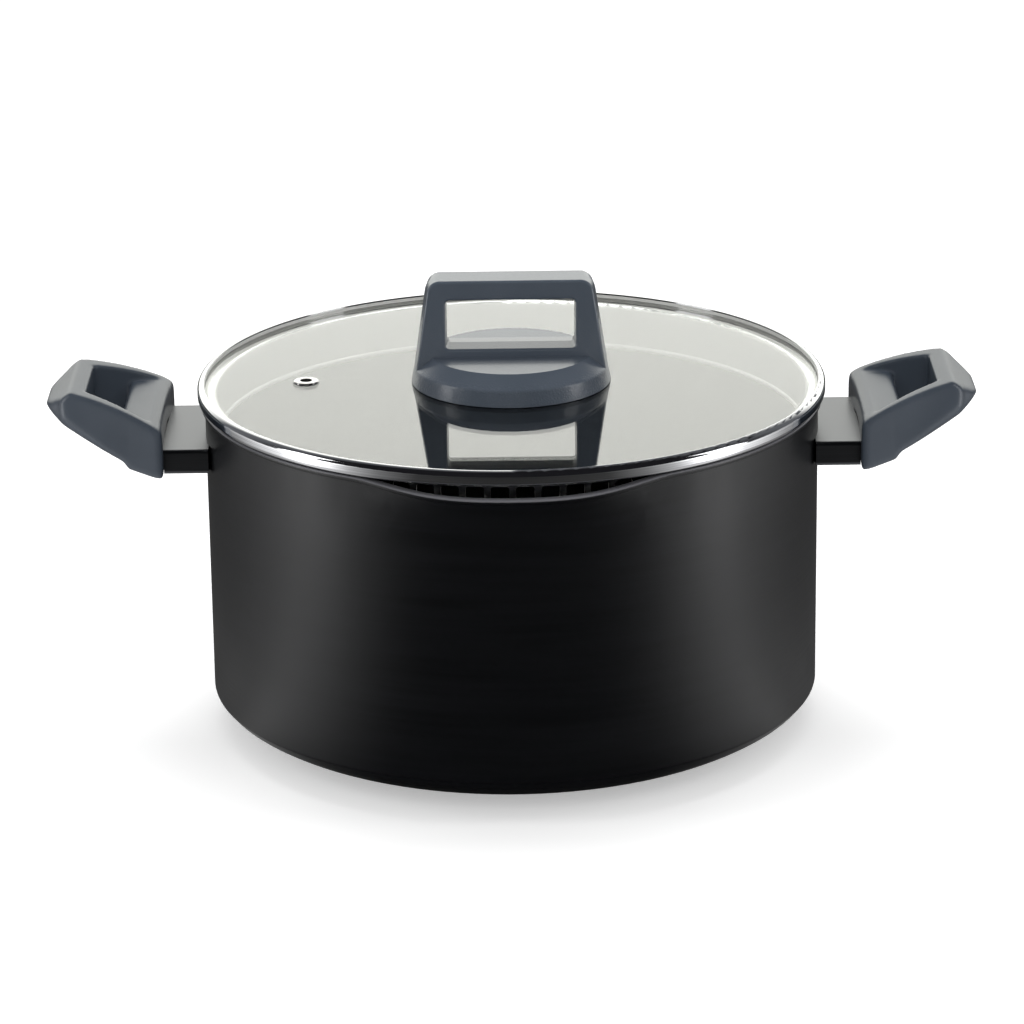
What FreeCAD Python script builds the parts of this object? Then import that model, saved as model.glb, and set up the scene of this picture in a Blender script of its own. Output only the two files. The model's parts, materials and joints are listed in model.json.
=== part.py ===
import FreeCAD, Part
import math
import os

# A 24 cm stockpot with two moulded side grips and a straining glass lid.
# Millimetres, +Z up, origin on the ground under the centre of the base.
# +X runs through the right-hand grip, -Y is the front pour lip.

V = FreeCAD.Vector
X_AXIS = V(1, 0, 0)
Y_AXIS = V(0, 1, 0)
Z_AXIS = V(0, 0, 1)
ORIGIN = V(0, 0, 0)

# ---- pot body -------------------------------------------------------------------
POT_R = 122.5            # outside radius of the straight wall
WALL_T = 2.5
RIM_Z = 136.6            # top of the rolled rim away from the pour lips
FLOOR_T = 5.0
FOOT_R = 82.0            # flat of the base
FOOT_Z = 0.4             # the aluminium foot stands this much above the ground
CORNER_H = 17.2          # height of the soft base corner
CORNER_POWER = 1.57      # superellipse exponent of that corner
INNER_CORNER_H = 19.0
INNER_FLAT_R = 80.0
BEAD_R = 1.0             # rolled bead along the rim
BEAD_OUT = 0.6           # bead centre outside the wall
BEAD_NECK = 0.6
RIM_CHAMFER = 0.8

# ---- pour lips, front and back ----------------------------------------------------
LIP_HALF_ANGLE = 30.0    # degrees either side of the lip's centre line
LIP_EASE = 1.65          # above 1 the middle of the lip is flatter than its flanks
LIP_DIP = 3.3            # how far the rim drops
LIP_BULGE = 5.2          # how far the wall leans out at the lip
LIP_ROOT_Z = 112.0       # where the wall starts to lean out
LIP_STEPS = 28
SEW_TOLERANCE = 0.01

# ---- magnetic disc under the base ---------------------------------------------------
DISC_R = 76.0
DISC_T = 1.3
DISC_EDGE = 0.4

# ---- side grips: (X, Z) side outline and plan outline ------------------------------
GRIP_TOP_IN = (134.0, 129.75)
GRIP_TOP_MID = (156.0, 140.25)
GRIP_TOP_OUT = (174.4, 145.1)
GRIP_NOSE_TOP = (184.6, 138.0)
GRIP_NOSE_TIP = (185.8, 136.3)
GRIP_NOSE_LOW = (183.8, 134.7)
GRIP_BELLY = (169.9, 126.4)
GRIP_STEP_OUT = (153.6, 118.2)
GRIP_STEP_IN = (151.4, 115.4)
GRIP_LOW_IN = (134.0, 110.7)
GRIP_END_X = 136.6       # corners of the inner end
GRIP_END_SAG = 1.9       # the inner end is hollow by this much
GRIP_CORNER_X = 174.4
GRIP_TIP_X = 187.3
GRIP_TIP_SAG = 8.4
GRIP_TIP_HALF = 21.5
GRIP_PLAN_HALF = 45.0
GRIP_HALF_TOP = [(134.0, 37.2), (174.4, 23.6), (190.0, 18.4)]    # half width of the top face by X
GRIP_FLARE = [(134.0, 0.4), (150.0, 0.9), (176.0, 2.6), (190.0, 2.6)]
GRIP_BELLY_ROUND = [(134.0, 1.2), (151.4, 1.5), (153.6, 2.0), (172.0, 5.0), (190.0, 5.0)]
GRIP_CEILING = 152.0
GRIP_FLOOR = 100.0
GRIP_STATIONS = 6
GRIP_LAST_X = 188.0
GRIP_SHORT_EDGE = 3.0
GRIP_EDGE_ROUND = 0.8
HOLE_IN_X = 154.6
HOLE_OUT_X = 168.4
HOLE_IN_HALF = 24.0
HOLE_OUT_HALF = 17.6
HOLE_ROUND = 1.5
SILL_ROUND = 2.2         # rounded edge where the thumb ramp meets the opening
RAMP_START = (142.6, 134.15)
RAMP_END_Z = 135.0

# ---- flame guards, lugs and grip screws --------------------------------------------
GUARD_HALF = 30.7
GUARD_Z0 = 112.9
GUARD_Z1 = 122.8
GUARD_T = 1.0
GUARD_ROUND = 1.6
LUG_HALF = 12.0
LUG_Z0 = 118.0
LUG_Z1 = 121.6
LUG_END_X = 150.5
LUG_ROUND = 3.0
SCREW_X = 144.8
M4_R = 2.0
M4_HEAD_R = 3.6
M4_HEAD_Z = (114.4, 116.1)
M4_HEAD_DOME = 0.8
M4_TIP_Z = 123.2
M4_TIP_ROOM = 0.8
M4_CLEARANCE = 0.3
M4_CROSS_L = 1.7
M4_CROSS_W = 0.4
M4_CROSS_D = 0.9
M4_WASHER_R = 4.2
M4_WASHER_T = 0.5
M4_CLEAR_R = 2.2

# ---- lid -------------------------------------------------------------------------------
GLASS_R = 123.6
GLASS_Z = (138.3, 141.2)
GLASS_EDGE = 0.5
BAND_R = 125.3
BAND_Z = (137.2, 143.2)
BAND_T = 0.6
BAND_ROUND = 2.4
BAND_ROUND_LOW = 1.7
SKIRT_BEND = 0.8
BAND_LIP_R = 122.6       # inner edge of the band's top flange
SKIRT_R = 118.0
SKIRT_Z = 119.6
HEM_R = 1.1
FIT_GAP = 0.05           # running clearance all round the glass gasket
GASKET_LIP_TOP_R = 122.4
GASKET_LIP_LOW_R = 121.2
GASKET_CUT = 0.8
SLOT_W = 7.0
SLOT_Z = (124.6, 135.0)
SLOT_PITCH = 4.62        # degrees
SLOT_COUNT = 10
SLOT_ROUND = 1.2

# ---- steam vent --------------------------------------------------------------------------
VENT_X = -82.0
VENT_BORE_R = 2.4
VENT_BARREL_R = 3.3
VENT_FLANGE_R = 5.0
VENT_TAIL_R = 4.6
VENT_T = 0.6
VENT_RING_R = 5.4
VENT_RING_T = 0.4

# ---- lid handle ------------------------------------------------------------------------------
PAD_T = 0.3
PAD_R = 35.0
KNOB_R = 39.8
KNOB_RIM = (38.6, 6.2)       # radius and height of the top of the base's rim
KNOB_FLAT = (32.3, 11.5)     # radius and height of the flat inside the cone
KNOB_ROUND = 1.6
LOOP_TOP_Z = 184.0
LOOP_HALF_TOP = 33.1         # half width at the parting plane
LOOP_HALF_LOW = 39.4
LOOP_INSET = 1.0             # draft of the sides towards the front and back faces
LOOP_DEPTH_TOP = 7.8         # half depth
LOOP_DEPTH_LOW = 9.2
LOOP_CORNER = 6.0
LOOP_ROUND = 1.1
WINDOW_HALF = 25.3
WINDOW_Z = (156.9, 175.7)
WINDOW_CORNER = 1.8
WINDOW_INSET = 0.7
BUSH_R = 4.2
BUSH_LEN = 9.0
M5_R = 2.5
M5_HEAD_R = 4.8
M5_HEAD_H = 2.6
M5_HEAD_DOME = 1.2
M5_CROSS_L = 2.4
M5_CROSS_W = 0.5
M5_CROSS_D = 1.2
GLASS_HOLE_R = 4.4
SEAL_R = 11.5
SEAL_T = 1.2
WASHER_R = 10.5
WASHER_T = 1.0


def revolve(edges):
    """Solid of revolution about Z from a closed outline drawn in the XZ plane."""
    face = Part.Face(Part.Wire(edges))
    return face.revolve(ORIGIN, Z_AXIS, 360)


def outline(points):
    """Straight edges through (r, z) points, closed."""
    corners = [V(r, 0, z) for r, z in points]
    return list(Part.makePolygon(corners + corners[:1]).Edges)


def spin(points):
    return revolve(outline(points))


def tube(r_out, r_in, z0, z1):
    return spin([(r_in, z0), (r_out, z0), (r_out, z1), (r_in, z1)])


def cylinder(radius, z0, z1, x=0.0):
    return Part.makeCylinder(radius, z1 - z0, V(x, 0, z0))


def box(x0, x1, y0, y1, z0, z1):
    return Part.makeBox(x1 - x0, y1 - y0, z1 - z0, V(x0, y0, z0))


def mirrored(shape):
    return shape.mirror(ORIGIN, X_AXIS)


def one_solid(shape):
    clean = shape.removeSplitter()
    return clean.Solids[0] if len(clean.Solids) == 1 else clean


def save(shape, name):
    if not shape.isValid():
        print("INVALID", name)
    print(f"{name:18s} solids {len(shape.Solids)}  volume {shape.Volume:10.1f} mm3")
    shape.exportStep(f"parts/{name}.step")


# ------------------------------------------------------------------ pot shell
def corner_curve(flat_r, flat_z, wall_r, height):
    """Soft corner from the flat of the base up to the vertical wall."""
    points = []
    steps = 10
    for i in range(steps + 1):
        angle = math.pi / 2 * i / steps
        across = math.sin(angle) ** (2 / CORNER_POWER)
        up = 1 - math.cos(angle) ** (2 / CORNER_POWER)
        points.append(V(flat_r + (wall_r - flat_r) * across, 0, flat_z + height * up))
    curve = Part.BSplineCurve()
    curve.interpolate(Points=points, InitialTangent=X_AXIS, FinalTangent=Z_AXIS)
    return curve.toShape()


def line(a, b):
    return Part.LineSegment(a, b).toShape()


def lower_edges():
    """Outline below the lips: outside from the disc recess out and up, inside down to the floor."""
    outer = corner_curve(FOOT_R, FOOT_Z, POT_R, CORNER_H)
    inner = corner_curve(INNER_FLAT_R, FLOOR_T, POT_R - WALL_T, INNER_CORNER_H)
    return [
        line(V(0, 0, DISC_T), V(DISC_R, 0, DISC_T)),
        line(V(DISC_R, 0, DISC_T), V(DISC_R, 0, FOOT_Z)),
        line(V(DISC_R, 0, FOOT_Z), outer.Vertexes[0].Point),
        outer,
        line(outer.Vertexes[-1].Point, V(POT_R, 0, LIP_ROOT_Z)),
        line(V(POT_R - WALL_T, 0, LIP_ROOT_Z), inner.Vertexes[-1].Point),
        inner,
        line(inner.Vertexes[0].Point, V(0, 0, FLOOR_T)),
    ]


def lean(foot_r, top_r, top_z):
    """Wall line that starts vertical and leans out to the lip."""
    curve = Part.BezierCurve()
    curve.setPoles([V(foot_r, 0, LIP_ROOT_Z), V(foot_r, 0, (LIP_ROOT_Z + top_z) / 2), V(top_r, 0, top_z)])
    return curve.toShape()


def lip_weight(offset_deg):
    """1 in the middle of a lip, easing to 0 at its ends."""
    reach = abs(offset_deg / LIP_HALF_ANGLE) ** LIP_EASE
    return (1 + math.cos(math.pi * reach)) / 2


def rim_edges(weight):
    """Upper wall and rolled rim in the XZ plane; weight 1 is the middle of a lip."""
    top = RIM_Z - LIP_DIP * weight
    out = POT_R + LIP_BULGE * weight
    inside = out - WALL_T
    bead_x = out + BEAD_OUT
    bead_low = top - 2 * BEAD_R
    neck_z = bead_low - BEAD_NECK
    bead = Part.Arc(V(bead_x, 0, bead_low), V(bead_x + BEAD_R, 0, top - BEAD_R), V(bead_x, 0, top))
    return [
        lean(POT_R, out, neck_z),
        line(V(out, 0, neck_z), V(bead_x, 0, bead_low)),
        bead.toShape(),
        line(V(bead_x, 0, top), V(inside + RIM_CHAMFER, 0, top)),
        line(V(inside + RIM_CHAMFER, 0, top), V(inside, 0, top - RIM_CHAMFER)),
        lean(POT_R - WALL_T, inside, top - RIM_CHAMFER),
    ]


def turned(edges, start_deg, sweep_deg):
    faces = []
    for edge in edges:
        start = edge.copy()
        start.rotate(ORIGIN, Z_AXIS, start_deg)
        faces += start.revolve(ORIGIN, Z_AXIS, sweep_deg).Faces
    return faces


def lip_faces(centre_deg):
    """Upper wall over one lip, lofted through radial sections."""
    wires = []
    for i in range(LIP_STEPS + 1):
        offset = LIP_HALF_ANGLE * (2 * i / LIP_STEPS - 1)
        wire = Part.Wire(rim_edges(lip_weight(offset)))
        wire.rotate(ORIGIN, Z_AXIS, centre_deg + offset)
        wires.append(wire)
    return Part.makeLoft(wires, False, False).Faces


def pot_shell():
    """Pressed wall and base with two pour lips, sewn from its surfaces."""
    faces = []
    plain = 180 - 2 * LIP_HALF_ANGLE
    for centre in (-90, 90):
        start = centre - LIP_HALF_ANGLE
        faces += turned(lower_edges(), start, 2 * LIP_HALF_ANGLE)
        faces += lip_faces(centre)
        start = centre + LIP_HALF_ANGLE
        faces += turned(lower_edges() + rim_edges(0), start, plain)
    skin = Part.makeCompound(faces)
    skin.sewShape(SEW_TOLERANCE)
    solid = Part.Solid(skin.Shells[0])
    if solid.Volume < 0:
        solid.reverse()
    return solid


def base_disc():
    return spin([
        (0, 0), (DISC_R - DISC_EDGE, 0), (DISC_R, DISC_EDGE), (DISC_R, DISC_T), (0, DISC_T),
    ])


# ---------------------------------------------------------------- side grips
def xz(point):
    return V(point[0], 0, point[1])


def along(x, points):
    """Value at x on the straight lines through (x, value) points."""
    for (x0, a), (x1, b) in zip(points, points[1:]):
        if x <= x1:
            return a + (b - a) * (x - x0) / (x1 - x0)
    return points[-1][1]


def grip_section(x, low_z):
    """Cross-section of the grip: sides lean out downwards, lower corners are round."""
    top = along(x, GRIP_HALF_TOP)
    belt = top + along(x, GRIP_FLARE)
    radius = along(x, GRIP_BELLY_ROUND)
    knee = radius * (1 - math.cos(math.pi / 4))

    def side(sign):
        high = V(x, sign * top, GRIP_CEILING)
        start = V(x, sign * belt, low_z + radius)
        middle = V(x, sign * (belt - knee), low_z + knee)
        end = V(x, sign * (belt - radius), low_z)
        return high, start, middle, end

    high_a, start_a, middle_a, end_a = side(1)
    high_b, start_b, middle_b, end_b = side(-1)
    return Part.Wire([
        line(high_a, start_a),
        Part.Arc(start_a, middle_a, end_a).toShape(),
        line(end_a, end_b),
        Part.Arc(end_b, middle_b, start_b).toShape(),
        line(start_b, high_b),
        line(high_b, high_a),
    ])


def grip_outline():
    """Plan outline: hollow inner end, straight flanks well outside, round tip."""
    start = V(GRIP_END_X, GRIP_PLAN_HALF, GRIP_FLOOR)
    corner = V(GRIP_CORNER_X, GRIP_PLAN_HALF, GRIP_FLOOR)
    land = V(GRIP_TIP_X - GRIP_TIP_SAG, GRIP_TIP_HALF, GRIP_FLOOR)
    mates = [V(p.x, -p.y, p.z) for p in (start, corner, land)]
    face = Part.Face(Part.Wire([
        line(start, corner),
        line(corner, land),
        Part.Arc(land, V(GRIP_TIP_X, 0, GRIP_FLOOR), mates[2]).toShape(),
        line(mates[2], mates[1]),
        line(mates[1], mates[0]),
        Part.Arc(mates[0], V(GRIP_END_X + GRIP_END_SAG, 0, GRIP_FLOOR), start).toShape(),
    ]))
    return face.extrude(V(0, 0, GRIP_CEILING - GRIP_FLOOR))


def top_outline():
    """Everything under the crowned top face and the sloping outer end."""
    face = Part.Face(Part.Wire([
        Part.Arc(xz(GRIP_TOP_IN), xz(GRIP_TOP_MID), xz(GRIP_TOP_OUT)).toShape(),
        line(xz(GRIP_TOP_OUT), xz(GRIP_NOSE_TOP)),
        Part.Arc(xz(GRIP_NOSE_TOP), xz(GRIP_NOSE_TIP), xz(GRIP_NOSE_LOW)).toShape(),
        line(xz(GRIP_NOSE_LOW), V(GRIP_NOSE_LOW[0], 0, GRIP_FLOOR)),
        line(V(GRIP_NOSE_LOW[0], 0, GRIP_FLOOR), V(GRIP_TOP_IN[0], 0, GRIP_FLOOR)),
        line(V(GRIP_TOP_IN[0], 0, GRIP_FLOOR), xz(GRIP_TOP_IN)),
    ]))
    face.translate(V(0, -60, 0))
    return face.extrude(V(0, 120, 0))


def grip_body():
    belly = Part.Arc(xz(GRIP_STEP_OUT), xz(GRIP_BELLY), xz(GRIP_NOSE_LOW)).toShape().Curve
    centre = belly.Center
    stations = []
    for i in range(GRIP_STATIONS + 1):
        x = GRIP_STEP_OUT[0] + (GRIP_LAST_X - GRIP_STEP_OUT[0]) * i / GRIP_STATIONS
        drop = math.sqrt(belly.Radius ** 2 - (x - centre.x) ** 2)
        low_z = centre.z - drop if centre.z > GRIP_BELLY[1] else centre.z + drop
        stations.append(grip_section(x, low_z))
    pad = [grip_section(*GRIP_LOW_IN), grip_section(*GRIP_STEP_IN)]
    step = [pad[1], stations[0]]
    body = Part.makeLoft(stations, True, False)
    body = body.fuse([Part.makeLoft(pad, True, True), Part.makeLoft(step, True, True)])
    return body.common(top_outline()).common(grip_outline())


def hole_half(x):
    """Half width of the opening and its thumb ramp, which share their side lines."""
    taper = (HOLE_IN_HALF - HOLE_OUT_HALF) / (HOLE_OUT_X - HOLE_IN_X)
    return HOLE_OUT_HALF + taper * (HOLE_OUT_X - x)


def grip_hole():
    """Finger opening with a shallow ramp in the top face that rolls down into it."""
    start_x, start_z = RAMP_START
    corners = [
        V(start_x, hole_half(start_x), GRIP_FLOOR),
        V(HOLE_OUT_X, HOLE_OUT_HALF, GRIP_FLOOR),
        V(HOLE_OUT_X, -HOLE_OUT_HALF, GRIP_FLOOR),
        V(start_x, -hole_half(start_x), GRIP_FLOOR),
    ]
    plan = Part.Face(Part.makePolygon(corners + corners[:1])).extrude(V(0, 0, GRIP_CEILING - GRIP_FLOOR))
    outer = [e for e in plan.Edges if abs(e.CenterOfMass.x - HOLE_OUT_X) < 0.1 and abs(e.CenterOfMass.y) > 1]
    plan = plan.makeFillet(HOLE_ROUND, [e for e in outer if abs(e.tangentAt(e.FirstParameter).z) > 0.9])
    roll = SILL_ROUND * (1 - math.sqrt(0.5))
    profile = path([
        V(start_x, 0, start_z),
        Part.Arc(
            V(HOLE_IN_X - SILL_ROUND, 0, RAMP_END_Z),
            V(HOLE_IN_X - roll, 0, RAMP_END_Z - roll),
            V(HOLE_IN_X, 0, RAMP_END_Z - SILL_ROUND),
        ).toShape(),
        V(HOLE_IN_X, 0, GRIP_FLOOR),
        V(HOLE_OUT_X, 0, GRIP_FLOOR),
        V(HOLE_OUT_X, 0, GRIP_CEILING),
        V(start_x, 0, GRIP_CEILING),
        V(start_x, 0, start_z),
    ])
    side = Part.Face(profile)
    side.translate(V(0, -GRIP_PLAN_HALF, 0))
    return plan.common(side.extrude(V(0, 2 * GRIP_PLAN_HALF, 0)))


def grip():
    body = grip_body()
    top_edges = [e for e in body.Edges if e.CenterOfMass.z > GRIP_TOP_IN[1] and e.Length > GRIP_SHORT_EDGE]
    body = body.makeFillet(GRIP_EDGE_ROUND, top_edges)
    body = body.cut(grip_hole())
    body = body.cut(lug())
    body = body.cut(cylinder(M4_CLEAR_R, M4_HEAD_Z[1], M4_TIP_Z + M4_TIP_ROOM, SCREW_X))
    recess = cylinder(M4_WASHER_R + M4_CLEARANCE, GRIP_FLOOR, M4_HEAD_Z[1] + M4_WASHER_T, SCREW_X)
    return one_solid(body.cut(recess))


def lug():
    """Flat steel bar welded to the pot; it carries the grip."""
    bar = box(POT_R - WALL_T, LUG_END_X, -LUG_HALF, LUG_HALF, LUG_Z0, LUG_Z1)
    upright = [e for e in bar.Edges
               if abs(e.tangentAt(e.FirstParameter).z) > 0.9 and e.CenterOfMass.x > POT_R]
    bar = bar.makeFillet(LUG_ROUND, upright)
    return bar.cut(cylinder(POT_R, 0, RIM_Z))


def threaded_lug():
    return lug().cut(cylinder(M4_R, LUG_Z0 - 1, LUG_Z1 + 1, SCREW_X))


def flame_guard():
    """Formed sleeve that bridges the wall and the grip."""
    outer = box(POT_R - WALL_T, GRIP_CORNER_X, -GUARD_HALF, GUARD_HALF, GUARD_Z0, GUARD_Z1)
    inner = box(
        POT_R - WALL_T, GRIP_CORNER_X, -GUARD_HALF + GUARD_T, GUARD_HALF - GUARD_T,
        GUARD_Z0 + GUARD_T, GUARD_Z1 - GUARD_T,
    )
    long_edges = [e for e in outer.Edges if abs(e.tangentAt(e.FirstParameter).x) > 0.9]
    outer = outer.makeFillet(GUARD_ROUND, long_edges)
    long_edges = [e for e in inner.Edges if abs(e.tangentAt(e.FirstParameter).x) > 0.9]
    inner = inner.makeFillet(GUARD_ROUND - GUARD_T + 0.2, long_edges)
    sleeve = outer.cut(inner).cut(cylinder(POT_R, 0, RIM_Z))
    sleeve = sleeve.cut(grip_end_space())
    return one_solid(sleeve)


def grip_end_space():
    """All the space outside the hollow inner end of the grip."""
    start = V(GRIP_END_X, GRIP_PLAN_HALF, GRIP_FLOOR)
    mate = V(GRIP_END_X, -GRIP_PLAN_HALF, GRIP_FLOOR)
    far = V(GRIP_TIP_X, 0, 0) - V(GRIP_END_X, 0, 0)
    face = Part.Face(Part.Wire([
        Part.Arc(mate, V(GRIP_END_X + GRIP_END_SAG, 0, GRIP_FLOOR), start).toShape(),
        line(start, start + far),
        line(start + far, mate + far),
        line(mate + far, mate),
    ]))
    return face.extrude(V(0, 0, GRIP_CEILING - GRIP_FLOOR))


def grip_screw():
    """Pan-head screw that enters the grip from below."""
    low, high = M4_HEAD_Z
    head = cylinder(M4_HEAD_R, low, high, SCREW_X)
    rim = [e for e in head.Edges if e.CenterOfMass.z < low + 0.1 and e.Length > M4_HEAD_R]
    head = head.makeFillet(M4_HEAD_DOME, rim)
    shank = cylinder(M4_R, high, M4_TIP_Z, SCREW_X)
    slot = box(
        SCREW_X - M4_CROSS_L, SCREW_X + M4_CROSS_L, -M4_CROSS_W, M4_CROSS_W, low - 1, low + M4_CROSS_D,
    )
    cross = slot.copy()
    cross.rotate(V(SCREW_X, 0, 0), Z_AXIS, 90)
    return head.fuse(shank).cut(slot).cut(cross).removeSplitter()


def grip_washer():
    low = M4_HEAD_Z[1]
    ring = cylinder(M4_WASHER_R, low, low + M4_WASHER_T, SCREW_X)
    return ring.cut(cylinder(M4_R, low - 1, low + 1, SCREW_X))


# ---------------------------------------------------------------------- lid
def lid_glass():
    z0, z1 = GLASS_Z
    disc = spin([
        (0, z0), (GLASS_R - GLASS_EDGE, z0), (GLASS_R, z0 + GLASS_EDGE), (GLASS_R, z1 - GLASS_EDGE),
        (GLASS_R - GLASS_EDGE, z1), (0, z1),
    ])
    disc = disc.cut(cylinder(GLASS_HOLE_R, z0 - 1, z1 + 1))
    return disc.cut(cylinder(VENT_BARREL_R, z0 - 1, z1 + 1, VENT_X))


def strainer_cutters():
    """Wide slots through the skirt at the front lip."""
    z0, z1 = SLOT_Z
    slot = box(SKIRT_R - 4, SKIRT_R + 4, -SLOT_W / 2, SLOT_W / 2, z0, z1)
    long_edges = [e for e in slot.Edges if abs(e.tangentAt(e.FirstParameter).x) > 0.9]
    slot = slot.makeFillet(SLOT_ROUND, long_edges)
    cutters = []
    for i in range(SLOT_COUNT):
        tool = slot.copy()
        tool.rotate(ORIGIN, Z_AXIS, -90 + (i - (SLOT_COUNT - 1) / 2) * SLOT_PITCH)
        cutters.append(tool)
    return cutters


def bend(centre_r, centre_z, radius, start_deg, sweep_deg):
    """Arc in the XZ plane round (centre_r, centre_z)."""
    angles = [math.radians(start_deg + sweep_deg * part) for part in (0, 0.5, 1)]
    points = [V(centre_r + radius * math.cos(a), 0, centre_z + radius * math.sin(a)) for a in angles]
    return Part.Arc(*points).toShape()


def path(pieces):
    """Open wire through arcs and points in order, with straight lines between them."""
    edges = []
    here = None
    for piece in pieces:
        start = piece if isinstance(piece, FreeCAD.Vector) else piece.Vertexes[0].Point
        if here is not None:
            edges.append(line(here, start))
        if not isinstance(piece, FreeCAD.Vector):
            edges.append(piece)
            start = piece.Vertexes[-1].Point
        here = start
    return Part.Wire(edges)


def sheet(wire, thickness):
    """Sheet metal turned about Z: the wire is its outer surface."""
    face = wire.makeOffset2D(-thickness, 0, True, True)
    return face.revolve(ORIGIN, Z_AXIS, 360)


def lid_band():
    """Roll-formed rim: grips the glass edge and drops down as the straining skirt."""
    z0, z1 = BAND_Z
    outside = path([
        V(BAND_LIP_R, 0, z1),
        bend(BAND_R - BAND_ROUND, z1 - BAND_ROUND, BAND_ROUND, 90, -90),
        bend(BAND_R - BAND_ROUND_LOW, z0 + BAND_ROUND_LOW, BAND_ROUND_LOW, 0, -90),
        bend(SKIRT_R + SKIRT_BEND, z0 - SKIRT_BEND, SKIRT_BEND, 90, 90),
        V(SKIRT_R, 0, SKIRT_Z),
    ])
    hem_centre = V(SKIRT_R - BAND_T / 2, 0, SKIRT_Z)
    hem = Part.Face(Part.Wire(Part.makeCircle(HEM_R, hem_centre, Y_AXIS)))
    ring = sheet(outside, BAND_T).fuse(hem.revolve(ORIGIN, Z_AXIS, 360))
    return one_solid(ring.cut(strainer_cutters()))


def lid_gasket():
    """Silicone channel between the glass edge and the band."""
    low = BAND_Z[0] + BAND_T + FIT_GAP
    high = BAND_Z[1] - BAND_T - FIT_GAP
    outer = BAND_R - BAND_T - FIT_GAP
    glass_low = GLASS_Z[0] - FIT_GAP
    glass_high = GLASS_Z[1] + FIT_GAP
    glass_r = GLASS_R + FIT_GAP
    corner = BAND_ROUND - BAND_T
    return spin([
        (GASKET_LIP_LOW_R, low), (outer - GASKET_CUT, low), (outer, low + GASKET_CUT),
        (outer, high - corner), (outer - corner, high), (GASKET_LIP_TOP_R, high),
        (GASKET_LIP_TOP_R, glass_high), (glass_r, glass_high), (glass_r, glass_low),
        (GASKET_LIP_LOW_R, glass_low),
    ])


def vent_eyelet():
    """Crimped eyelet through the glass; steam leaves through its bore."""
    z0, z1 = GLASS_Z
    tail = cylinder(VENT_TAIL_R, z0 - VENT_RING_T - VENT_T, z0 - VENT_RING_T, VENT_X)
    top = cylinder(VENT_FLANGE_R, z1, z1 + VENT_T, VENT_X)
    rim = [e for e in top.Edges if e.CenterOfMass.z > z1 + VENT_T / 2 and e.Length > VENT_FLANGE_R]
    top = top.makeFillet(VENT_T * 0.7, rim)
    barrel = cylinder(VENT_BARREL_R, z0 - VENT_RING_T, z1, VENT_X)
    bore = cylinder(VENT_BORE_R, z0 - 5, z1 + 5, VENT_X)
    return one_solid(tail.fuse([top, barrel]).cut(bore))


def vent_ring():
    z0 = GLASS_Z[0]
    ring = cylinder(VENT_RING_R, z0 - VENT_RING_T, z0, VENT_X)
    return ring.cut(cylinder(VENT_BARREL_R, z0 - 1, z0 + 1, VENT_X))


# --------------------------------------------------------------- lid handle
def lid_handle():
    bottom = GLASS_Z[1] + PAD_T
    rim_r, rim_h = KNOB_RIM
    flat_r, flat_h = KNOB_FLAT
    base = spin([
        (0, bottom), (KNOB_R, bottom), (rim_r, bottom + rim_h), (flat_r, bottom + flat_h),
        (0, bottom + flat_h),
    ])
    rim = [e for e in base.Edges if abs(e.CenterOfMass.z - bottom - rim_h) < 0.1 and e.Length > 2 * KNOB_R]
    base = base.makeFillet(KNOB_ROUND, rim)
    body = base.fuse(handle_loop(bottom + 1)).removeSplitter()
    bush = cylinder(BUSH_R, bottom, bottom + BUSH_LEN)
    return one_solid(body.cut(bush))


def loop_outline(half_low, half_top, z0, z1, y, corner):
    """Front outline of the loop at depth y, with rounded top corners."""
    lean_dx = (half_low - half_top) / (z1 - z0)
    slope = math.atan(lean_dx)
    turn = math.pi / 2 - slope
    reach = corner * math.tan(turn / 2)

    def shoulder(sign):
        peak = V(sign * half_top, y, z1)
        down = V(sign * math.sin(slope), 0, -math.cos(slope))
        centre = peak + V(-sign * reach, 0, -corner)
        lean = slope / 2 + math.pi / 4
        out = centre + V(sign * math.cos(lean), 0, math.sin(lean)) * corner
        return peak + down * reach, out, peak + V(-sign * reach, 0, 0)

    right = shoulder(1)
    left = shoulder(-1)
    low_right = V(half_low, y, z0)
    low_left = V(-half_low, y, z0)
    return Part.Wire([
        line(low_left, low_right),
        line(low_right, right[0]),
        Part.Arc(*right).toShape(),
        line(right[2], left[2]),
        Part.Arc(left[2], left[1], left[0]).toShape(),
        line(left[0], low_left),
    ])


def handle_loop(z0):
    """Bridge handle: drafted loop with rounded outline and a drafted window."""
    halves = []
    for side in (-1, 1):
        middle = loop_outline(LOOP_HALF_LOW, LOOP_HALF_TOP, z0, LOOP_TOP_Z, 0, LOOP_CORNER)
        face = loop_outline(
            LOOP_HALF_LOW - LOOP_INSET, LOOP_HALF_TOP - LOOP_INSET, z0, LOOP_TOP_Z,
            side * LOOP_DEPTH_LOW, LOOP_CORNER - LOOP_INSET,
        )
        halves.append(Part.makeLoft([middle, face], True, True))
    loop = halves[0].fuse(halves[1])
    loop = loop.common(loop_taper(z0))
    loop = loop.cut(window_cutter())
    rims = [e for e in loop.Edges if is_face_edge(e, z0)]
    return loop.makeFillet(LOOP_ROUND, rims)


def loop_taper(z0):
    """Front and back faces lean towards each other going up."""
    low = V(0, -LOOP_DEPTH_LOW, z0)
    high = V(0, -LOOP_DEPTH_TOP, LOOP_TOP_Z)
    points = [low, high, V(0, LOOP_DEPTH_TOP, LOOP_TOP_Z), V(0, LOOP_DEPTH_LOW, z0), low]
    face = Part.Face(Part.makePolygon(points))
    face.translate(V(-KNOB_R - 5, 0, 0))
    return face.extrude(V(2 * KNOB_R + 10, 0, 0))


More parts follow.
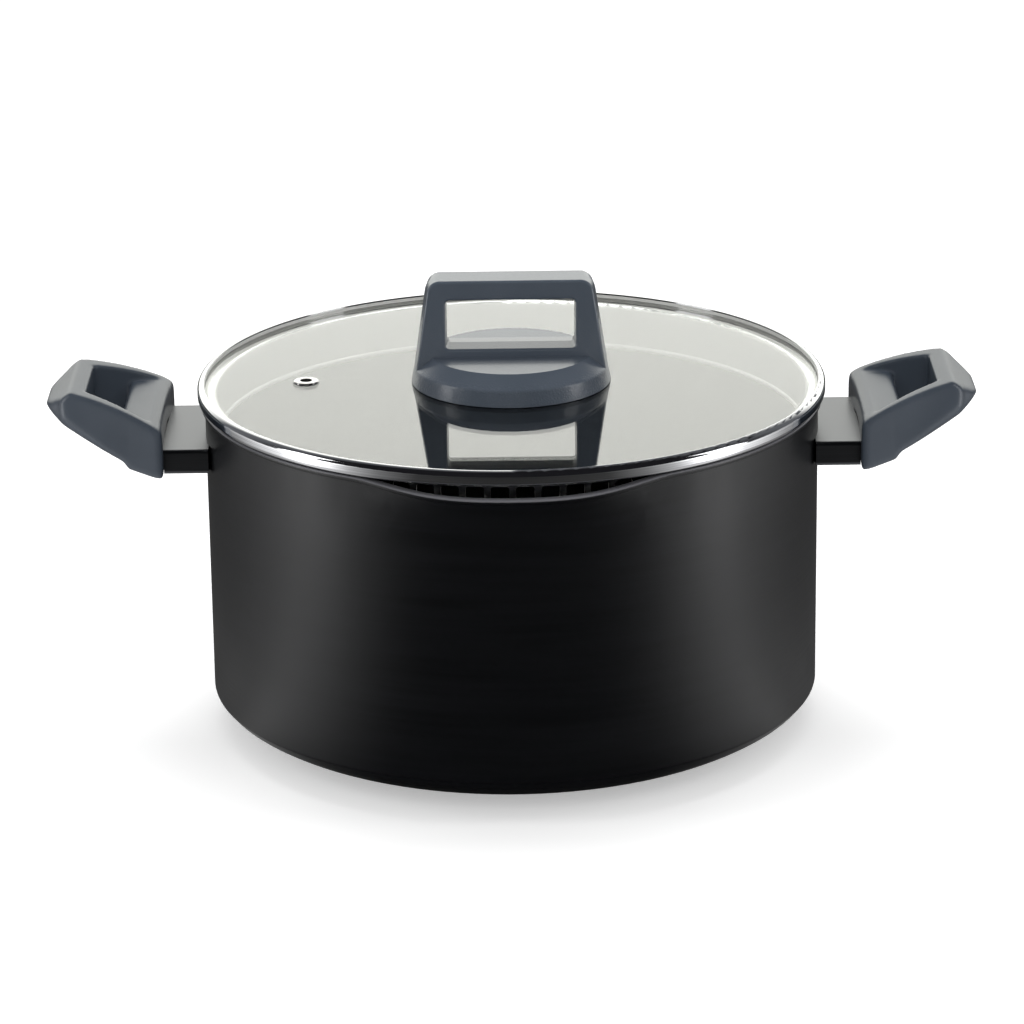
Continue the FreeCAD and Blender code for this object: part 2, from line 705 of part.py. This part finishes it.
def window_cutter():
    wide = WINDOW_INSET * 1.2
    halves = []
    for side in (-1, 1):
        wires = []
        for depth, grow in ((0, 0), (LOOP_DEPTH_LOW * 1.2, wide)):
            frame = box(
                -WINDOW_HALF - grow, WINDOW_HALF + grow, 0, 1,
                WINDOW_Z[0] - grow, WINDOW_Z[1] + grow,
            )
            through = [e for e in frame.Edges if abs(e.tangentAt(e.FirstParameter).y) > 0.9]
            frame = frame.makeFillet(WINDOW_CORNER, through)
            front = min(frame.Faces, key=lambda f: f.CenterOfMass.y)
            wire = front.OuterWire
            wire.translate(V(0, side * depth, 0))
            wires.append(wire)
        halves.append(Part.makeLoft(wires, True, True))
    return halves[0].fuse(halves[1])


def is_face_edge(edge, z0):
    """Edges of the front and back faces, outline and window, but not the foot."""
    size = edge.BoundBox
    leaning = size.YMax < -LOOP_DEPTH_TOP + 0.2 or size.YMin > LOOP_DEPTH_TOP - 0.2
    return leaning and size.ZMax > z0 + 1


def handle_bush():
    bottom = GLASS_Z[1] + PAD_T
    return tube(BUSH_R, M5_R, bottom, bottom + BUSH_LEN)


def handle_pad():
    return tube(PAD_R, M5_R + 0.2, GLASS_Z[1], GLASS_Z[1] + PAD_T)


def handle_seal():
    """Silicone bush: a flange under the glass and a sleeve through its hole."""
    z0, z1 = GLASS_Z
    inner = M5_R + 0.1
    return spin([
        (inner, z0 - SEAL_T), (SEAL_R, z0 - SEAL_T), (SEAL_R, z0), (GLASS_HOLE_R, z0),
        (GLASS_HOLE_R, z1), (inner, z1),
    ])


def handle_washer():
    top = GLASS_Z[0] - SEAL_T
    return tube(WASHER_R, M5_R, top - WASHER_T, top)


def handle_screw():
    top = GLASS_Z[0] - SEAL_T - WASHER_T
    head = cylinder(M5_HEAD_R, top - M5_HEAD_H, top)
    rim = [e for e in head.Edges if e.CenterOfMass.z < top - M5_HEAD_H + 0.1 and e.Length > M5_HEAD_R]
    head = head.makeFillet(M5_HEAD_DOME, rim)
    shank = cylinder(M5_R, top, GLASS_Z[1] + PAD_T + BUSH_LEN - 1)
    low = top - M5_HEAD_H
    slot = box(-M5_CROSS_L, M5_CROSS_L, -M5_CROSS_W, M5_CROSS_W, low - 1, low + M5_CROSS_D)
    cross = slot.copy()
    cross.rotate(ORIGIN, Z_AXIS, 90)
    return head.fuse(shank).cut(slot).cut(cross).removeSplitter()


# ---------------------------------------------------------------- all nodes
def build():
    save(pot_shell(), "pot_shell")
    save(base_disc(), "base_disc")
    right = {"grip": grip(), "flame_guard": flame_guard(), "weld_lug": threaded_lug()}
    for name, shape in right.items():
        save(shape, f"right_{name}")
        save(mirrored(shape), f"left_{name}")
    for name, shape in (("grip_screws", grip_screw()), ("grip_washers", grip_washer())):
        save(Part.makeCompound([shape, mirrored(shape)]), name)
    lid = {
        "lid_glass": lid_glass,
        "lid_band": lid_band,
        "lid_gasket": lid_gasket,
        "vent_eyelet": vent_eyelet,
        "vent_ring": vent_ring,
        "lid_handle": lid_handle,
        "handle_bush": handle_bush,
        "handle_pad": handle_pad,
        "handle_seal": handle_seal,
        "handle_washer": handle_washer,
        "handle_screw": handle_screw,
    }
    for name, make in lid.items():
        save(make(), name)


os.makedirs("parts", exist_ok=True)
build()
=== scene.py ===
import json
import math

import bmesh
import bpy
from mathutils import Euler, Matrix, Vector


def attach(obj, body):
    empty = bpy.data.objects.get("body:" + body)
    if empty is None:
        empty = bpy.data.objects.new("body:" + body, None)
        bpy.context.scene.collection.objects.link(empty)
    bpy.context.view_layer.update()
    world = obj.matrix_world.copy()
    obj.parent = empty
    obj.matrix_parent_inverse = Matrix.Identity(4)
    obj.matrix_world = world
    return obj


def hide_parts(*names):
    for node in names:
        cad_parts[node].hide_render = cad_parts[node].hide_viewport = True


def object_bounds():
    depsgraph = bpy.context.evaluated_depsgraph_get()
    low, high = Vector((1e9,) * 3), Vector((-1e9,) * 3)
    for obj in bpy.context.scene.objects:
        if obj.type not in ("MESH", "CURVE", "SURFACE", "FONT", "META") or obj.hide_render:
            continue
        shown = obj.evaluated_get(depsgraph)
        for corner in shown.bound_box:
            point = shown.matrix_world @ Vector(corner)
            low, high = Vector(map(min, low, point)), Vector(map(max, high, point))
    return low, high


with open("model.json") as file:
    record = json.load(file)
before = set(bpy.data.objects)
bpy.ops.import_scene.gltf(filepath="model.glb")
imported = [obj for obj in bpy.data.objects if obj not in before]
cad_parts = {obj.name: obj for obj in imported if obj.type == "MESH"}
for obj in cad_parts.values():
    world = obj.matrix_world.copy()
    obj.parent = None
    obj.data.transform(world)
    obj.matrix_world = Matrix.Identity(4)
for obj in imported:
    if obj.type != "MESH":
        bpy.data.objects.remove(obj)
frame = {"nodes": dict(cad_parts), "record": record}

CAD_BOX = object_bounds()
NODES = frame["nodes"]
SCENE = bpy.context.scene

# ---- camera ---------------------------------------------------------------------------------
CAM_ELEVATION = 18.77        # degrees above the horizon
CAM_DISTANCE = 1.747
CAM_AIM = Vector((-0.00038, 0.0, 0.08505))
CAM_ROLL = 0.74
CAM_LENS = 152.05
SENSOR = 36.0

# ---- studio ---------------------------------------------------------------------------------
FLOOR_HALF = 14.0
FLOOR_DROP = 0.0004
FLOOR_GLOW = 0.36            # evens out the shadow on the white sweep
SOFT_LEVEL = 0.52            # what matt surfaces receive from the room
BACK_COLOUR = (1.74, 1.75, 1.66)     # overexposed backdrop seen in glossy surfaces
ROOM_COLOUR = (0.16, 0.165, 0.175)   # the room at the sides and above
FRONT_COLOUR = (0.012, 0.012, 0.014)   # dark side of the room, behind the camera
LIGHT_AIM = (0.0, 0.0, 0.1)
TOP_PLACE = (0.0, 0.5, 1.7)
TOP_POWER = 19.0             # watts
FILL_PLACE = (0.0, -2.2, 1.1)
FILL_POWER = 22.0
STRIP_OUT = 1.15             # how far to each side the two strip lights stand
STRIP_AIM = (0.0, 0.0, 0.12)
STRIPS = [("left_strip", -1, 3.2), ("right_strip", 1, 3.0)]
CARD_LEVEL = 2.4             # bright cards lying at both sides, seen by whatever stands high enough
CARD_FROM = 0.47
CARD_TO = 0.56
NEAR_FROM = 0.115            # the sweep is dimmer in reflections close under the pot
NEAR_TO = 0.20
# what the sweep looks like in glossy surfaces, by cosine of the angle from the front
SWEEP_STOPS = [
    (-1.0, 0.12), (-0.87, 0.08), (-0.62, 0.10), (-0.27, 0.20), (0.12, 0.50), (0.32, 1.10), (0.55, 0.66),
    (0.72, 0.22), (0.86, 0.05), (1.0, 0.03),
]

SLATE = [(0.056, 0.070, 0.091), (0.066, 0.081, 0.104), (0.090, 0.108, 0.135)]

# ---- surfaces ---------------------------------------------------------------------------------
RIM_HIGHLIGHT_FROM = 0.130            # the pot's rim: from this height up, upward-facing faces get a painted highlight, a lighter coat colour
RIM_HIGHLIGHT_FADE = 0.002
SKIRT_INSIDE = 0.1177        # radius of the skirt's inner face
HANDLE_CONE_R = 0.0355       # the handle's grain is coarse outside this radius
WELD = 0.000002
SHARP = math.radians(32.0)

# ---- grips: how far the moulded edges are eased ------------------------------------------------
GRIP_VOXEL = 0.0007
GRIP_EASE = 14
GRIP_END_EASE = 60
GRIP_TIP_FROM = 0.170
GRIP_TIP_TO = 0.182
GRIP_ROOT_FROM = 0.1425
GRIP_ROOT_TO = 0.1375


class Tree:
    """Small helper to lay out shader nodes."""

    def __init__(self, tree):
        self.tree = tree
        tree.nodes.clear()

    def node(self, kind, inputs=None, **attributes):
        made = self.tree.nodes.new(kind)
        for name, value in attributes.items():
            setattr(made, name, value)
        for key, value in (inputs or {}).items():
            self.feed(made, key, value)
        return made

    def feed(self, made, key, value):
        if isinstance(value, bpy.types.NodeSocket):
            self.tree.links.new(value, made.inputs[key])
        else:
            made.inputs[key].default_value = value

    def math(self, operation, a, b=None, c=None):
        inputs = {0: a}
        if b is not None:
            inputs[1] = b
        if c is not None:
            inputs[2] = c
        return self.node("ShaderNodeMath", inputs, operation=operation).outputs[0]

    def vector(self, operation, a, b=None, scale=None, out=0):
        inputs = {0: a}
        if b is not None:
            inputs[1] = b
        if scale is not None:
            inputs["Scale"] = scale
        return self.node("ShaderNodeVectorMath", inputs, operation=operation).outputs[out]

    def ramp(self, value, low, high, to_low, to_high, smooth=True):
        made = self.node(
            "ShaderNodeMapRange",
            {"Value": value, "From Min": low, "From Max": high, "To Min": to_low, "To Max": to_high},
            interpolation_type="SMOOTHSTEP" if smooth else "LINEAR",
        )
        return made.outputs[0]

    def stops(self, value, low, high, points):
        """Colour ramp over low..high through (value, brightness) points."""
        made = self.node("ShaderNodeValToRGB", {0: self.ramp(value, low, high, 0.0, 1.0, smooth=False)})
        elements = made.color_ramp.elements
        while len(elements) < len(points):
            elements.new(0.5)
        for element, (at, level) in zip(elements, points):
            element.position = (at - low) / (high - low)
            element.color = (level, level, level, 1.0)
        return made.outputs[0]

    def mix(self, factor, a, b):
        made = self.node("ShaderNodeMix", data_type="RGBA")
        self.feed(made, 0, factor)
        self.feed(made, 6, a)
        self.feed(made, 7, b)
        return made.outputs[2]

    def noise(self, where, scale, detail=2.0, rough=0.5):
        made = self.node(
            "ShaderNodeTexNoise", {"Vector": where, "Scale": scale, "Detail": detail, "Roughness": rough}
        )
        return made.outputs[0]

    def bump(self, height, strength, distance, below=None):
        inputs = {"Height": height, "Strength": strength, "Distance": distance}
        if below is not None:
            inputs["Normal"] = below
        return self.node("ShaderNodeBump", inputs).outputs[0]

    def place(self):
        return self.node("ShaderNodeTexCoord").outputs["Object"]

    def around(self, where, along, across):
        """Coordinates that change slowly round the Z axis and fast up and out."""
        flat = self.vector("MULTIPLY", where, (1.0, 1.0, 0.0))
        radius = self.vector("LENGTH", flat, out=1)
        unit = self.vector("NORMALIZE", flat)
        spread = self.vector("SCALE", unit, scale=along)
        parts = self.node("ShaderNodeSeparateXYZ", {0: where})
        height = self.math("MULTIPLY", self.math("ADD", parts.outputs[2], radius), across)
        lift = self.node("ShaderNodeCombineXYZ", {2: height}).outputs[0]
        return self.vector("ADD", spread, lift)


def rgba(r, g, b):
    return (r, g, b, 1.0)


def material(name):
    made = bpy.data.materials.new(name)
    made.use_nodes = True
    return made, Tree(made.node_tree)


def surface(tree, sockets):
    shader = tree.node("ShaderNodeBsdfPrincipled", sockets)
    tree.node("ShaderNodeOutputMaterial", {"Surface": shader.outputs[0]})
    return shader


def coat_material():
    """Hard near-black coat over turned aluminium, with a painted highlight on upward-facing faces at the rim.
    """
    made, t = material("body_coat")
    place = t.place()
    fine = t.noise(t.around(place, 1.2, 2600.0), 1.0, 3.0)
    broad = t.noise(t.around(place, 2.0, 160.0), 1.0, 2.0)
    cloud = t.noise(place, 16.0, 3.0)
    lines = t.math("ADD", t.math("MULTIPLY", fine, 0.6), t.math("MULTIPLY", broad, 0.4))
    tone = t.ramp(lines, 0.3, 0.7, 0.0, 1.0)
    coat = t.mix(tone, rgba(0.0006, 0.0008, 0.0014), rgba(0.0026, 0.0029, 0.0042))
    # painted highlight: near the rim, faces that look upward are mixed to a lighter grey
    facing = t.node("ShaderNodeSeparateXYZ", {0: t.node("ShaderNodeTexCoord").outputs["Normal"]}).outputs[2]
    height = t.node("ShaderNodeSeparateXYZ", {0: place}).outputs[2]
    upper = t.ramp(height, RIM_HIGHLIGHT_FROM, RIM_HIGHLIGHT_FROM + RIM_HIGHLIGHT_FADE, 0.0, 1.0)
    painted_rim_highlight = t.math("MULTIPLY", t.ramp(facing, 0.15, 0.6, 0.0, 1.0), upper)
    coat = t.mix(painted_rim_highlight, coat, rgba(0.11, 0.11, 0.12))
    rough = t.math("ADD", t.math("MULTIPLY", fine, 0.10), t.ramp(cloud, 0.3, 0.7, 0.26, 0.32))
    normal = t.bump(fine, 0.22, 0.00006, t.bump(broad, 0.10, 0.0002))
    surface(t, {"Base Color": coat, "Roughness": rough, "Normal": normal, "Specular IOR Level": 0.5})
    return made


def steel_material(name, colour, rough, along, across, strength, spread=0.06):
    """Steel with fine lines round the pot's axis."""
    made, t = material(name)
    place = t.place()
    fine = t.noise(t.around(place, along, across), 1.0, 3.0)
    patch = t.noise(place, 22.0, 2.0)
    tone = t.mix(t.ramp(fine, 0.3, 0.7, 0.0, 1.0), rgba(*[c * 0.9 for c in colour]), rgba(*colour))
    level = t.math("ADD", t.math("MULTIPLY", fine, spread), t.ramp(patch, 0.3, 0.7, rough - spread, rough))
    surface(t, {
        "Base Color": tone, "Metallic": 1.0, "Roughness": level, "Normal": t.bump(fine, strength, 0.00005),
    })
    return made


def band_material():
    """Polished outside; the skirt is satin on the side that faces the food, and that side is also painted
    lighter, a painted brightness for light reaching it through the glass.
    """
    made, t = material("band_steel")
    place = t.place()
    fine = t.noise(t.around(place, 1.5, 2400.0), 1.0, 3.0)
    radius = t.vector("LENGTH", t.vector("MULTIPLY", place, (1.0, 1.0, 0.0)), out=1)
    inside = t.ramp(radius, SKIRT_INSIDE + 0.0002, SKIRT_INSIDE, 0.0, 1.0)
    tone = t.mix(t.ramp(fine, 0.3, 0.7, 0.0, 1.0), rgba(0.60, 0.605, 0.62), rgba(0.70, 0.705, 0.72))
    # painted brightness: the skirt's inner face gets a lighter colour, standing in for light reaching it
    # through the glass; its rougher satin finish is its own
    tone = t.mix(inside, tone, rgba(0.88, 0.88, 0.87))
    polish = t.math("MULTIPLY_ADD", fine, 0.05, 0.06)
    rough = t.math("ADD", polish, t.math("MULTIPLY", inside, 0.42))
    surface(t, {
        "Base Color": tone, "Metallic": t.ramp(inside, 0.0, 1.0, 1.0, 0.45), "Roughness": rough,
        "Normal": t.bump(fine, 0.05, 0.00004),
    })
    return made


def guard_material():
    """Steel brushed lengthways, out from the wall."""
    made, t = material("guard_steel")
    place = t.place()
    streak = t.noise(t.vector("MULTIPLY", place, (30.0, 2400.0, 2400.0)), 1.0, 2.0)
    tone = t.mix(t.ramp(streak, 0.3, 0.7, 0.0, 1.0), rgba(0.120, 0.124, 0.132), rgba(0.136, 0.140, 0.149))
    surface(t, {
        "Base Color": tone, "Metallic": 1.0, "Roughness": t.ramp(streak, 0.2, 0.8, 0.33, 0.37),
        "Normal": t.bump(streak, 0.02, 0.00004),
    })
    return made


def plastic_material(name, grain, pebble_from, depth, relief, gloss):
    """Slate phenolic; the pebble grain is coarse beyond pebble_from from the Z axis."""
    made, t = material(name)
    place = t.place()
    radius = t.vector("LENGTH", t.vector("MULTIPLY", place, (1.0, 1.0, 0.0)), out=1)
    coarse = t.ramp(radius, pebble_from, pebble_from + 0.002, 0.25, 1.0)
    pebble = t.node("ShaderNodeTexVoronoi", {"Vector": place, "Scale": grain, "Randomness": 1.0})
    cells = t.ramp(pebble.outputs["Distance"], 0.1, 0.7, 1.0, 0.0)
    dust = t.noise(place, grain * 2.2, 3.0)
    cloud = t.noise(place, 38.0, 3.0)
    height = t.math("ADD", t.math("MULTIPLY", cells, coarse), t.math("MULTIPLY", dust, 0.35))
    low, mid, high = [rgba(*[depth * c for c in shade]) for shade in SLATE]
    tone = t.mix(t.ramp(cloud, 0.3, 0.7, 0.0, 1.0), low, mid)
    tone = t.mix(t.ramp(height, 0.6, 1.2, 0.0, 0.3), tone, high)
    surface(t, {
        "Base Color": tone, "Roughness": t.ramp(dust, 0.2, 0.8, 0.27, 0.37),
        "Normal": t.bump(height, relief, 0.00012), "Specular IOR Level": 0.5,
        "Coat Weight": gloss, "Coat Roughness": 0.12,
    })
    return made


def glass_material():
    """Clear tempered glass, faintly warm, with very light wipe marks."""
    made, t = material("lid_glass")
    place = t.place()
    wipe = t.noise(t.vector("MULTIPLY", place, (9.0, 26.0, 9.0)), 1.0, 4.0)
    surface(t, {
        "Base Color": rgba(0.98, 0.99, 0.965), "Roughness": t.ramp(wipe, 0.45, 0.8, 0.0, 0.025),
        "Transmission Weight": 1.0, "IOR": 1.5,
    })
    return made


def rubber_material():
    made, t = material("silicone")
    place = t.place()
    grain = t.noise(place, 900.0, 3.0)
    tone = t.mix(grain, rgba(0.012, 0.012, 0.013), rgba(0.030, 0.030, 0.032))
    surface(t, {
        "Base Color": tone, "Roughness": t.ramp(grain, 0.2, 0.8, 0.45, 0.62),
        "Normal": t.bump(grain, 0.15, 0.0001),
    })
    return made


def clear_silicone_material():
    made, t = material("clear_silicone")
    haze = t.noise(t.place(), 400.0, 2.0)
    surface(t, {
        "Base Color": t.mix(haze, rgba(0.60, 0.60, 0.58), rgba(0.74, 0.74, 0.71)),
        "Roughness": t.ramp(haze, 0.2, 0.8, 0.28, 0.40), "Normal": t.bump(haze, 0.1, 0.0001),
    })
    return made


def disc_material():
    """Satin steel plate with turned rings and a field of small pressed dots."""
    made, t = material("disc_steel")
    place = t.place()
    rings = t.noise(t.around(place, 0.6, 1500.0), 1.0, 2.0)
    dots = t.node("ShaderNodeTexVoronoi", {"Vector": place, "Scale": 210.0, "Randomness": 0.0})
    pit = t.ramp(dots.outputs["Distance"], 0.22, 0.30, 1.0, 0.0)
    radius = t.vector("LENGTH", t.vector("MULTIPLY", place, (1.0, 1.0, 0.0)), out=1)
    field = t.math("MULTIPLY", t.ramp(radius, 0.018, 0.020, 0.0, 1.0), t.ramp(radius, 0.070, 0.068, 0.0, 1.0))
    pit = t.math("MULTIPLY", pit, field)
    tone = t.mix(t.ramp(rings, 0.3, 0.7, 0.0, 1.0), rgba(0.40, 0.40, 0.41), rgba(0.58, 0.58, 0.59))
    tone = t.mix(t.math("MULTIPLY", pit, 0.75), tone, rgba(0.10, 0.10, 0.105))
    height = t.math("SUBTRACT", t.math("MULTIPLY", rings, 0.3), pit)
    surface(t, {
        "Base Color": tone, "Metallic": 1.0, "Roughness": t.ramp(rings, 0.2, 0.8, 0.26, 0.42),
        "Normal": t.bump(height, 0.35, 0.00015),
    })
    return made


def dress():
    """Gives every CAD node its finished material."""
    looks = {
        "body_coat": coat_material(),
        "disc_steel": disc_material(),
        "grip_plastic": plastic_material("grip_plastic", 2100.0, 0.30, 0.66, 0.30, 0.0),
        "handle_plastic": plastic_material("handle_plastic", 1150.0, HANDLE_CONE_R, 1.0, 0.60, 0.35),
        "guard_steel": guard_material(),
        "lug_steel": steel_material("lug_steel", (0.42, 0.42, 0.43), 0.42, 20.0, 900.0, 0.2),
        "screw_steel": steel_material("screw_steel", (0.60, 0.60, 0.61), 0.30, 4.0, 2200.0, 0.1),
        "lid_glass": glass_material(),
        "band_steel": band_material(),
        "silicone": rubber_material(),
        "clear_silicone": clear_silicone_material(),
        "vent_steel": steel_material("vent_steel", (0.72, 0.71, 0.70), 0.14, 4.0, 1800.0, 0.05),
    }
    slots = {part["node"]: part["material_slot"] for part in frame["record"]["subparts"]}
    for name, node in NODES.items():
        node.data.materials.clear()
        node.data.materials.append(looks[slots[name]])
    return looks


def ease(value, start, end):
    part = min(1.0, max(0.0, (value - start) / (end - start)))
    return part * part * (3 - 2 * part)


def moulded_grip(node, look):
    """The grip with softly moulded edges, rounder at its two ends."""
    piece = bpy.data.objects.new("moulded_" + node, NODES[node].data.copy())
    SCENE.collection.objects.link(piece)
    remesh = piece.modifiers.new("skin", "REMESH")
    remesh.mode = "VOXEL"
    remesh.voxel_size = GRIP_VOXEL
    bake(piece)
    group = piece.vertex_groups.new(name="ends")
    for vertex in piece.data.vertices:
        out = abs(vertex.co.x)
        weight = max(ease(out, GRIP_TIP_FROM, GRIP_TIP_TO), ease(out, GRIP_ROOT_FROM, GRIP_ROOT_TO))
        if weight > 0.01:
            group.add([vertex.index], weight, "REPLACE")
    overall = piece.modifiers.new("edges", "SMOOTH")
    overall.factor = 0.5
    overall.iterations = GRIP_EASE
    ends = piece.modifiers.new("ends", "SMOOTH")
    ends.factor = 0.5
    ends.iterations = GRIP_END_EASE
    ends.vertex_group = group.name
    bake(piece)
    piece.data.materials.clear()
    piece.data.materials.append(look)
    piece.data.polygons.foreach_set("use_smooth", [True] * len(piece.data.polygons))
    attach(piece, "pot")
    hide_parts(node)


def smooth_skin(node, body, look):
    """The node's own surface with one continuous shading across its face seams."""
    mesh = NODES[node].data.copy()
    work = bmesh.new()
    work.from_mesh(mesh)
    bmesh.ops.remove_doubles(work, verts=work.verts, dist=WELD)
    work.to_mesh(mesh)
    work.free()
    piece = bpy.data.objects.new("finished_" + node, mesh)
    SCENE.collection.objects.link(piece)
    mesh.polygons.foreach_set("use_smooth", [True] * len(mesh.polygons))
    mesh.set_sharp_from_angle(angle=SHARP)
    weigh = piece.modifiers.new("normals", "WEIGHTED_NORMAL")
    weigh.mode = "FACE_AREA"
    weigh.weight = 100
    weigh.keep_sharp = True
    mesh.materials.clear()
    mesh.materials.append(look)
    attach(piece, body)
    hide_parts(node)


def bake(piece):
    """Applies a piece's modifiers to its mesh."""
    graph = bpy.context.evaluated_depsgraph_get()
    made = bpy.data.meshes.new_from_object(piece.evaluated_get(graph))
    piece.modifiers.clear()
    piece.data = made


def studio():
    """White room; glossy rays see a bright backdrop and a dark front instead."""
    world = bpy.data.worlds.new("studio")
    SCENE.world = world
    world.use_nodes = True
    t = Tree(world.node_tree)
    toward = t.node("ShaderNodeTexCoord").outputs["Generated"]
    y = t.node("ShaderNodeSeparateXYZ", {0: toward}).outputs[1]
    room = t.mix(t.ramp(y, -0.1, 0.5, 0.0, 1.0), rgba(*FRONT_COLOUR), rgba(*ROOM_COLOUR))
    tone = t.mix(t.ramp(y, 0.55, 0.86, 0.0, 1.0), room, rgba(*BACK_COLOUR))
    glossy = t.node("ShaderNodeBackground", {"Color": tone})
    soft = t.node("ShaderNodeBackground", {"Strength": SOFT_LEVEL})
    seen = t.node("ShaderNodeBackground", {"Strength": 1.0})
    path = t.node("ShaderNodeLightPath").outputs
    lit = t.node("ShaderNodeMixShader", {0: path["Is Glossy Ray"], 1: soft.outputs[0], 2: glossy.outputs[0]})
    view = t.node("ShaderNodeMixShader", {0: path["Is Camera Ray"], 1: lit.outputs[0], 2: seen.outputs[0]})
    t.node("ShaderNodeOutputWorld", {"Surface": view.outputs[0]})


def floor():
    """Plain white sweep; glossy rays see staged shades and side cards on it instead."""
    mesh = bpy.data.meshes.new("floor")
    half = FLOOR_HALF
    low = CAD_BOX[0].z - FLOOR_DROP
    corners = [(-half, -half, low), (half, -half, low), (half, half, low), (-half, half, low)]
    mesh.from_pydata(corners, [], [(0, 1, 2, 3)])
    plane = bpy.data.objects.new("floor", mesh)
    SCENE.collection.objects.link(plane)
    made, t = material("floor_white")
    place = t.place()
    y = t.node("ShaderNodeSeparateXYZ", {0: place}).outputs[1]
    radius = t.vector("LENGTH", t.vector("MULTIPLY", place, (1.0, 1.0, 0.0)), out=1)
    front = t.math("DIVIDE", t.math("MULTIPLY", y, -1.0), radius)
    shade = t.stops(front, -1.0, 1.0, SWEEP_STOPS)
    near = t.ramp(radius, NEAR_FROM, NEAR_TO, 0.35, 1.0)
    sides = t.math("MULTIPLY", t.ramp(front, 0.62, 0.35, 0.0, 1.0), t.ramp(front, -0.6, -0.3, 0.0, 1.0))
    cards = t.math("MULTIPLY", t.ramp(radius, CARD_FROM, CARD_TO, 0.0, CARD_LEVEL), sides)
    card = t.node("ShaderNodeEmission", {"Color": shade, "Strength": t.math("ADD", near, cards)})
    white = t.node("ShaderNodeBsdfDiffuse", {"Color": rgba(0.93, 0.93, 0.93)})
    glow = t.node("ShaderNodeEmission", {"Strength": FLOOR_GLOW})
    paper = t.node("ShaderNodeAddShader", {0: white.outputs[0], 1: glow.outputs[0]})
    path = t.node("ShaderNodeLightPath").outputs
    both = t.node("ShaderNodeMixShader", {0: path["Is Glossy Ray"], 1: paper.outputs[0], 2: card.outputs[0]})
    t.node("ShaderNodeOutputMaterial", {"Surface": both.outputs[0]})
    mesh.materials.append(made)


def softbox(name, place, aim, width, height, power, reflected=True):
    data = bpy.data.lights.new(name, "AREA")
    data.shape = "RECTANGLE"
    data.size = width
    data.size_y = height
    data.energy = power
    lamp = bpy.data.objects.new(name, data)
    lamp.location = place
    lamp.visible_glossy = reflected
    lamp.rotation_mode = "QUATERNION"
    lamp.rotation_quaternion = (Vector(aim) - Vector(place)).to_track_quat("-Z", "Y")
    SCENE.collection.objects.link(lamp)


def camera():
    data = bpy.data.cameras.new("camera")
    data.sensor_width = SENSOR
    data.lens = CAM_LENS
    data.clip_start = 0.05
    data.clip_end = 60.0
    eye = bpy.data.objects.new("camera", data)
    tilt = math.radians(CAM_ELEVATION)
    ahead = Vector((0.0, math.cos(tilt), -math.sin(tilt)))
    roll = Matrix.Rotation(math.radians(-CAM_ROLL), 3, "Z")
    turn = Euler((math.pi / 2 - tilt, 0.0, 0.0)).to_matrix() @ roll
    eye.rotation_mode = "QUATERNION"
    eye.rotation_quaternion = turn.to_quaternion()
    eye.location = CAM_AIM - ahead * CAM_DISTANCE
    SCENE.collection.objects.link(eye)
    SCENE.camera = eye


LOOKS = dress()
for grip in ("left_grip", "right_grip"):
    moulded_grip(grip, LOOKS["grip_plastic"])
smooth_skin("pot_shell", "pot", LOOKS["body_coat"])
studio()
floor()
softbox("top_softbox", TOP_PLACE, LIGHT_AIM, 1.6, 1.1, TOP_POWER, reflected=False)
for name, side, power in STRIPS:
    softbox(name, (side * STRIP_OUT, -0.22, 0.45), STRIP_AIM, 0.35, 0.9, power)
softbox("front_fill", FILL_PLACE, LIGHT_AIM, 2.0, 1.6, FILL_POWER, reflected=False)
camera()
SCENE.view_settings.view_transform = "Standard"
